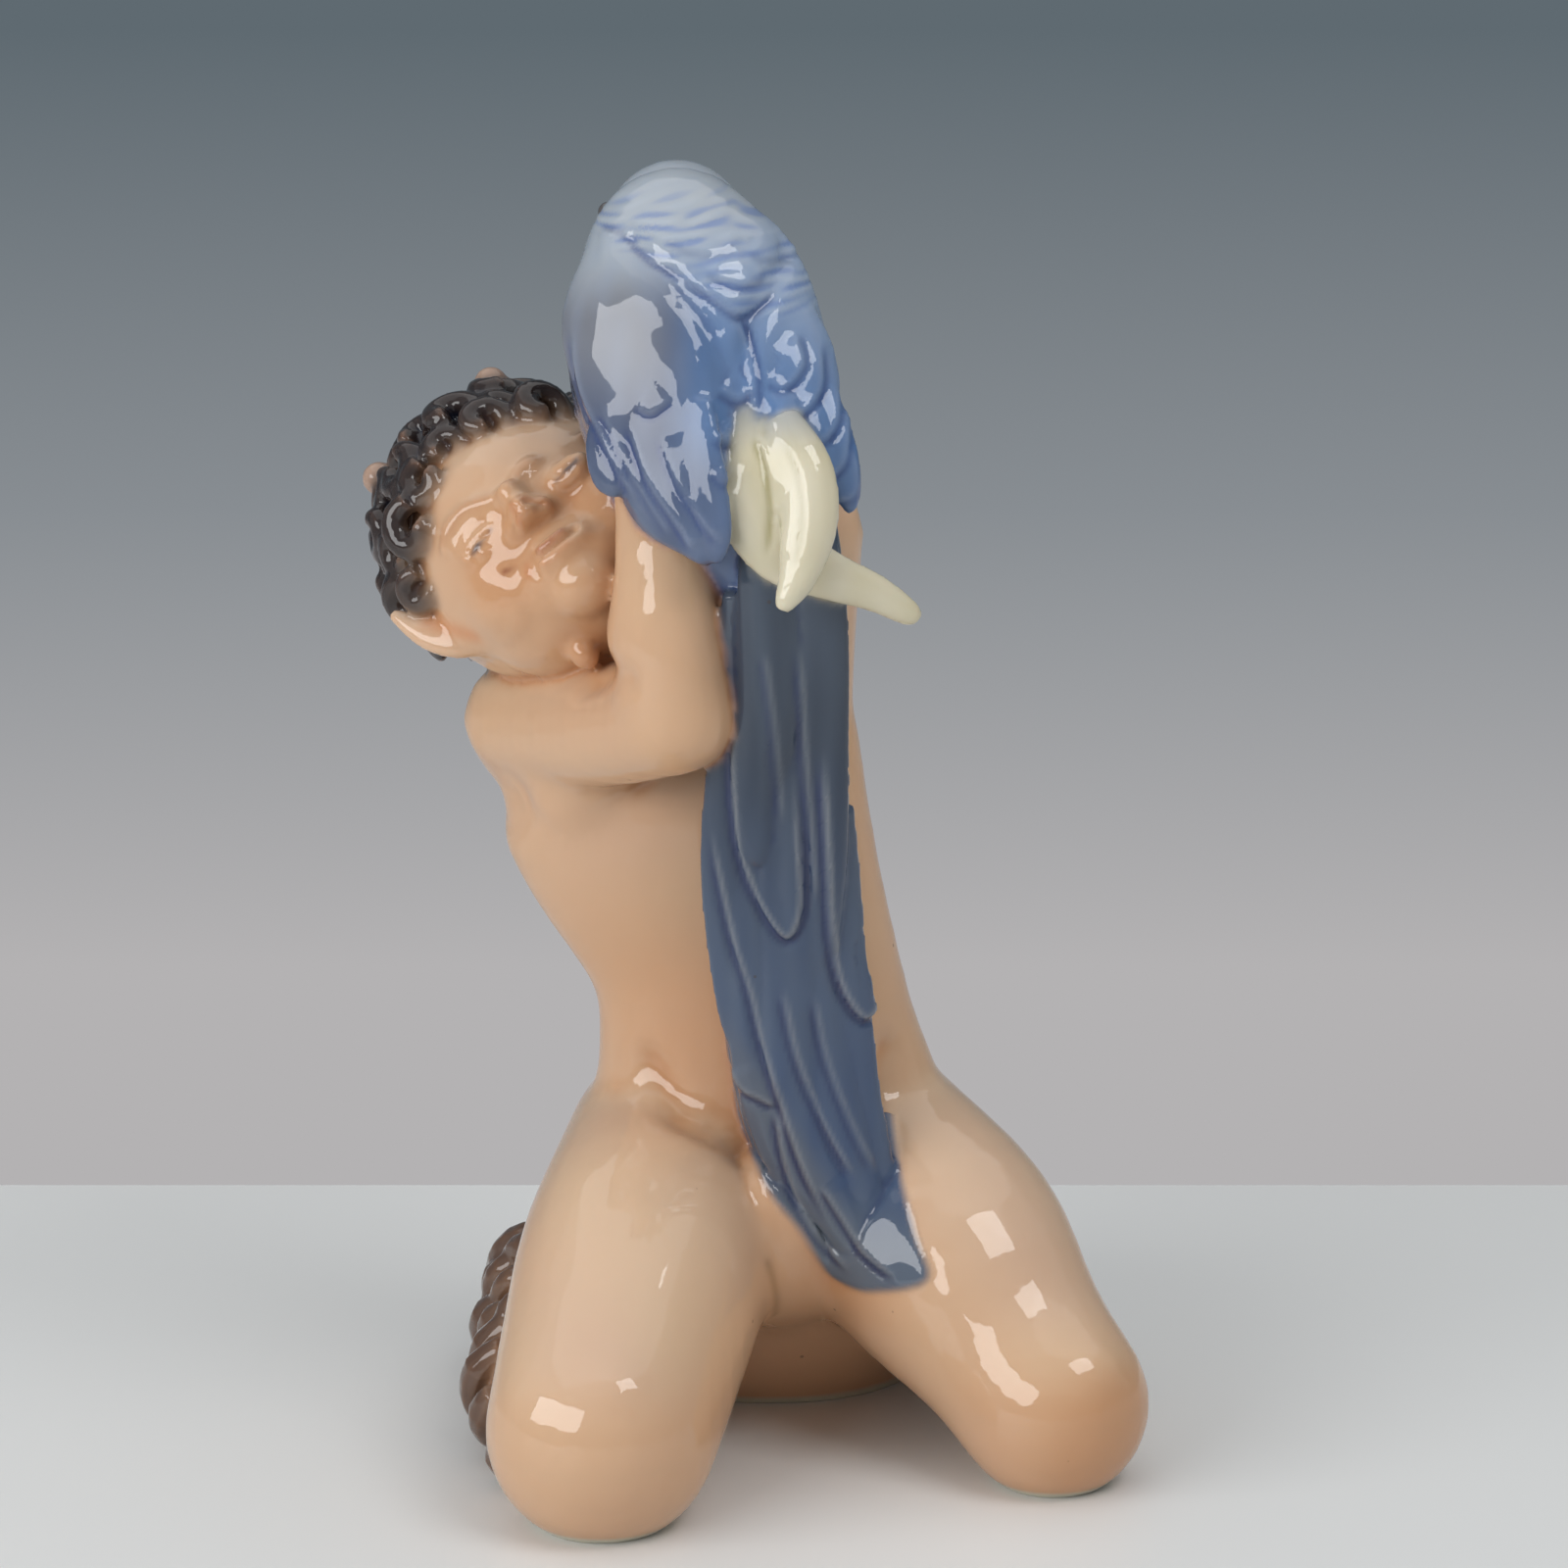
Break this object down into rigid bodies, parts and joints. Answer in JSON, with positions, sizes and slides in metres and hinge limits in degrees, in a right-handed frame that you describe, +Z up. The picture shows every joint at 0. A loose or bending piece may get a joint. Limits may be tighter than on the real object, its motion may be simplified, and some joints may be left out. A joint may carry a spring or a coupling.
{
  "type": "faun figurine",
  "caption": "Glazed porcelain figurine of a kneeling faun with curly hair and goat's legs, hugging a long-tailed parrot to its cheek.",
  "frame": {"origin": "on the table, in the middle of the figurine's box seen from above", "axes": "+Z up, the faun faces -Y, +X to the faun's own left"},
  "size_m": [0.108, 0.1086, 0.1798],
  "materials": {
    "glazed_porcelain": "underglaze painting in peach, brown, blue and cream below a clear gloss glaze"
  },
  "bodies": {
    "root": {"faun_figurine": "glazed_porcelain"}
  },
  "joints": []
}
